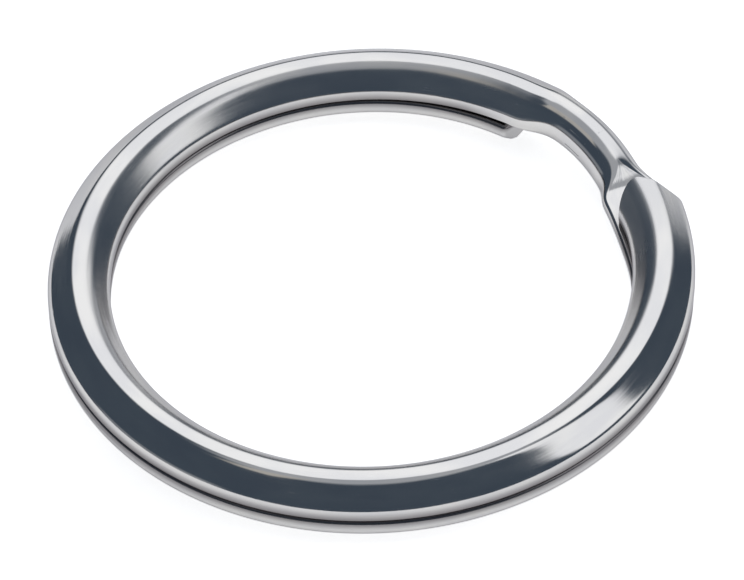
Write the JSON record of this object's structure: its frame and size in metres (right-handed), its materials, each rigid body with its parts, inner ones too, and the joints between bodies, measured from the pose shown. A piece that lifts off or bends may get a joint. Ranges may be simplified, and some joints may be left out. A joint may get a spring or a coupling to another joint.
{
  "type": "split key ring",
  "caption": "Split key ring of bright nickel-plated steel wire, wound in flat-pressed coils, with a crossover bend and tips that spring open to take a key.",
  "frame": {"origin": "on the ring's axis, midway between the two coils, where their flat faces meet", "axes": "+Z along the ring's axis, from the lower coil to the upper coil; +X to the side of the ring where the upper free tip and the crossover lie, so they are between 15 and 60 degrees round from +X towards +Y"},
  "size_m": [0.0251, 0.025, 0.0028],
  "materials": {
    "nickel_wire": "bright nickel plate, coined and tumbled smooth"
  },
  "bodies": {
    "crossover": {"crossover_upper": "nickel_wire", "crossover_lower": "nickel_wire", "upper_coil_05": "nickel_wire", "lower_coil_01": "nickel_wire"},
    "upper_end": {"upper_tip": "nickel_wire"},
    "upper_flexing_01": {"upper_coil_01": "nickel_wire"},
    "upper_flexing_02": {"upper_coil_02": "nickel_wire"},
    "upper_flexing_03": {"upper_coil_03": "nickel_wire"},
    "upper_flexing_04": {"upper_coil_04": "nickel_wire"},
    "lower_end": {"lower_tip": "nickel_wire"},
    "lower_flexing_02": {"lower_coil_02": "nickel_wire"},
    "lower_flexing_03": {"lower_coil_03": "nickel_wire"},
    "lower_flexing_04": {"lower_coil_04": "nickel_wire"},
    "lower_flexing_05": {"lower_coil_05": "nickel_wire"}
  },
  "joints": [
    {"name": "upper_twist_1", "type": "hinge", "parent": "upper_flexing_01", "child": "upper_end", "pos_m": [0.00945, -0.00618, 0.00068], "axis": [0.5471, 0.8371, 0], "range_deg": [0, 0.62], "stiffness_Nm_per_rad": 6.7},
    {"name": "upper_twist_2", "type": "hinge", "parent": "upper_flexing_02", "child": "upper_flexing_01", "pos_m": [0.0006, -0.01127, 0.00068], "axis": [0.9986, 0.0535, 0], "range_deg": [0, 1.98], "stiffness_Nm_per_rad": 6.7},
    {"name": "upper_twist_3", "type": "hinge", "parent": "upper_flexing_03", "child": "upper_flexing_02", "pos_m": [-0.00874, -0.00715, 0.00068], "axis": [0.6334, -0.7738, 0], "range_deg": [0, 2.96], "stiffness_Nm_per_rad": 6.7},
    {"name": "upper_twist_4", "type": "hinge", "parent": "upper_flexing_04", "child": "upper_flexing_03", "pos_m": [-0.01093, 0.00282, 0.00068], "axis": [-0.2498, -0.9683, 0], "range_deg": [0, 2.77], "stiffness_Nm_per_rad": 6.7},
    {"name": "upper_twist_5", "type": "hinge", "parent": "crossover", "child": "upper_flexing_04", "pos_m": [-0.00419, 0.01049, 0.00068], "axis": [-0.9287, -0.3708, 0], "range_deg": [0, 1.55], "stiffness_Nm_per_rad": 6.7},
    {"name": "lower_twist_1", "type": "hinge", "parent": "lower_flexing_05", "child": "lower_end", "pos_m": [-0.0038, 0.01063, -0.00068], "axis": [0.9417, 0.3365, 0], "range_deg": [0, 0.62], "stiffness_Nm_per_rad": 6.7},
    {"name": "lower_twist_2", "type": "hinge", "parent": "lower_flexing_04", "child": "lower_flexing_05", "pos_m": [-0.01082, 0.00324, -0.00068], "axis": [0.2868, 0.958, 0], "range_deg": [0, 1.97], "stiffness_Nm_per_rad": 6.7},
    {"name": "lower_twist_3", "type": "hinge", "parent": "lower_flexing_03", "child": "lower_flexing_04", "pos_m": [-0.00902, -0.00679, -0.00068], "axis": [-0.6018, 0.7986, 0], "range_deg": [0, 2.96], "stiffness_Nm_per_rad": 6.7},
    {"name": "lower_twist_4", "type": "hinge", "parent": "lower_flexing_02", "child": "lower_flexing_03", "pos_m": [0.00013, -0.01129, -0.00068], "axis": [-0.9999, -0.0116, 0], "range_deg": [0, 2.77], "stiffness_Nm_per_rad": 6.7},
    {"name": "lower_twist_5", "type": "hinge", "parent": "crossover", "child": "lower_flexing_02", "pos_m": [0.00917, -0.00658, -0.00068], "axis": [-0.5831, -0.8124, 0], "range_deg": [0, 1.56], "stiffness_Nm_per_rad": 6.7}
  ]
}
